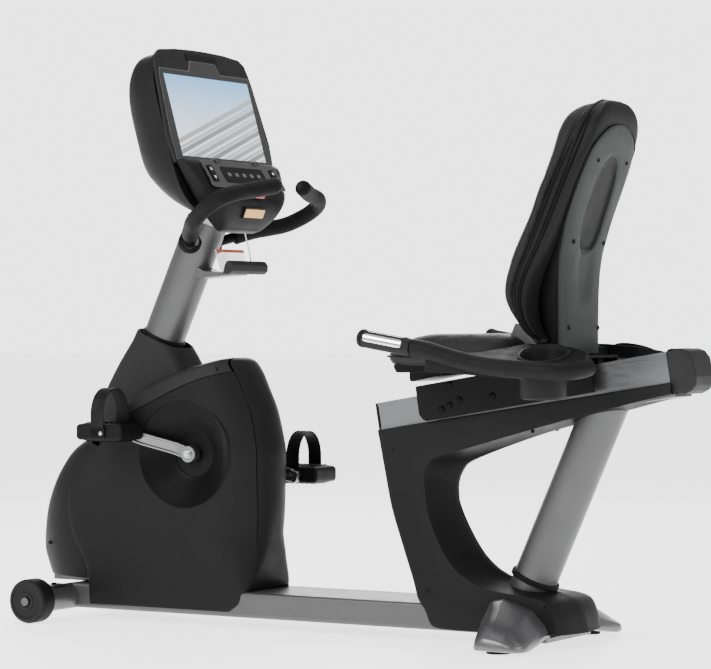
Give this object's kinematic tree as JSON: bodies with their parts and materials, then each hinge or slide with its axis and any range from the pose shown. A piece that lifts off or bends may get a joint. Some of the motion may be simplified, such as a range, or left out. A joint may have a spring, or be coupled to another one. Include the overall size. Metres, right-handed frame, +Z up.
{
  "type": "recumbent exercise bike",
  "caption": "Recumbent exercise bike with a sliding cushioned seat, pedals with toe straps, a screen console, side and front hand grips, and transport wheels.",
  "frame": {"origin": "on the floor at the middle of the machine's length and width", "axes": "+X towards the seat end, +Y towards the rider's right, +Z up"},
  "size_m": [1.7554, 0.642, 1.3667],
  "materials": {
    "frame_paint": "satin",
    "foot_casting": "semi-gloss",
    "black_rubber": "matte",
    "rail_aluminium": "satin",
    "charcoal_plastic": "fine texture",
    "grey_trim": "fine texture",
    "spine_grey": "fine texture",
    "black_hardware": "satin",
    "bearing_steel": "turned",
    "cast_alloy": "satin",
    "rotor_iron": "machined",
    "pulley_plastic": "moulded",
    "pedal_plastic": "moulded",
    "wheel_plastic": "moulded",
    "screen_panel": "gloss",
    "bar_tube": "satin",
    "grip_foam": "matte foam",
    "clear_window": "clear",
    "white_cable": "satin",
    "black_steel": "satin",
    "glide_nylon": "moulded",
    "pan_plastic": "moulded",
    "vinyl": "grained vinyl",
    "armrest_soft": "soft skin",
    "grip_plastic": "moulded with bright contact strips",
    "key_plastic": "gloss",
    "stop_red": "gloss"
  },
  "bodies": {
    "frame": {"base_frame": "frame_paint", "front_stabilizer": "frame_paint", "rear_foot": "foot_casting", "foot_pads": "black_rubber", "rear_strut": "frame_paint", "tube_collars": "black_rubber", "seat_rail": "rail_aluminium", "rail_caps": "charcoal_plastic", "leg_covers": "charcoal_plastic", "mast": "frame_paint", "mast_base_cover": "grey_trim", "side_cover_left": "charcoal_plastic", "side_cover_right": "charcoal_plastic", "front_cover": "charcoal_plastic", "rear_cover": "charcoal_plastic", "top_trim": "grey_trim", "hub_covers": "charcoal_plastic", "cover_screws": "black_hardware", "crank_housing": "frame_paint", "crank_bearings": "bearing_steel", "generator_axle": "frame_paint", "drive_belt": "black_rubber", "console_shell": "charcoal_plastic", "console_face": "charcoal_plastic", "screen": "screen_panel", "keypad_panel": "charcoal_plastic", "handlebar_tubes": "bar_tube", "foam_grips": "grip_foam", "accessory_tray": "charcoal_plastic", "tray_window": "clear_window", "charge_cord": "white_cable", "cord_plug": "white_cable"},
    "crank": {"crank_axle": "bearing_steel", "drive_pulley": "pulley_plastic", "crank_arms": "cast_alloy", "crank_bolts": "bearing_steel", "pedal_spindles": "bearing_steel"},
    "pedal_left_body": {"pedal_left": "pedal_plastic", "toe_strap_left": "black_rubber"},
    "pedal_right_body": {"pedal_right": "pedal_plastic", "toe_strap_right": "black_rubber"},
    "rotor": {"flywheel_rotor": "rotor_iron"},
    "wheel_left_body": {"wheel_left": "wheel_plastic"},
    "wheel_right_body": {"wheel_right": "wheel_plastic"},
    "seat": {"seat_carriage": "black_steel", "carriage_glides": "glide_nylon", "seat_pan": "pan_plastic", "seat_cushion": "vinyl", "back_post": "black_steel", "spine_cover": "spine_grey", "back_shell": "charcoal_plastic", "back_cushion": "vinyl", "armrests": "armrest_soft", "cup_holders": "charcoal_plastic", "hand_grips": "grip_plastic"},
    "lever": {"release_lever": "black_hardware"},
    "brake": {"brake_shoe": "black_rubber"},
    "volume": {"volume_key": "key_plastic"},
    "channel": {"channel_key": "key_plastic"},
    "stop": {"stop_button": "stop_red"}
  },
  "joints": [
    {"name": "crank_spin", "type": "hinge", "parent": "frame", "child": "crank", "pos_m": [-0.412, 0, 0.403], "axis": [0, 1, 0], "continuous": true},
    {"name": "pedal_left_spin", "type": "hinge", "parent": "crank", "child": "pedal_left_body", "pos_m": [-0.57331, -0.177, 0.45666], "axis": [0, 1, 0], "continuous": true},
    {"name": "pedal_right_spin", "type": "hinge", "parent": "crank", "child": "pedal_right_body", "pos_m": [-0.25069, 0.177, 0.34934], "axis": [0, 1, 0], "continuous": true},
    {"name": "rotor_spin", "type": "hinge", "parent": "frame", "child": "rotor", "pos_m": [-0.545, 0, 0.215], "axis": [0, 1, 0], "continuous": true},
    {"name": "wheel_left_spin", "type": "hinge", "parent": "frame", "child": "wheel_left_body", "pos_m": [-0.75, -0.248, 0.0525], "axis": [0, 1, 0], "continuous": true},
    {"name": "wheel_right_spin", "type": "hinge", "parent": "frame", "child": "wheel_right_body", "pos_m": [-0.75, 0.248, 0.0525], "axis": [0, 1, 0], "continuous": true},
    {"name": "seat_slide", "type": "slide", "parent": "frame", "child": "seat", "axis": [0.986, 0, 0.1668], "range_m": [-0.11, 0.18]},
    {"name": "lever_lift", "type": "hinge", "parent": "seat", "child": "lever", "pos_m": [0.38313, 0.08, 0.56131], "axis": [0, 1, 0], "range_deg": [0, 18], "stiffness_Nm_per_rad": 2, "springref_deg": -8.59},
    {"name": "brake_release", "type": "slide", "parent": "seat", "child": "brake", "axis": [0, 1, 0], "range_m": [0, 0.002]},
    {"name": "volume_rock", "type": "hinge", "parent": "frame", "child": "volume", "pos_m": [-0.311, -0.135, 1.0621], "axis": [0, 1, 0], "range_deg": [-3, 3], "stiffness_Nm_per_rad": 0.3},
    {"name": "channel_rock", "type": "hinge", "parent": "frame", "child": "channel", "pos_m": [-0.311, 0.135, 1.0621], "axis": [0, 1, 0], "range_deg": [-3, 3], "stiffness_Nm_per_rad": 0.3},
    {"name": "stop_press", "type": "slide", "parent": "frame", "child": "stop", "axis": [-0.8415, 0, -0.5402], "range_m": [0, 0.002], "stiffness_N_per_m": 1500, "springref_m": -0.0005}
  ],
  "couplings": [
    {"joint": "rotor_spin", "follows": "crank_spin", "ratio": 4.5},
    {"joint": "brake_release", "follows": "lever_lift", "m_per_rad": 0.0063}
  ]
}
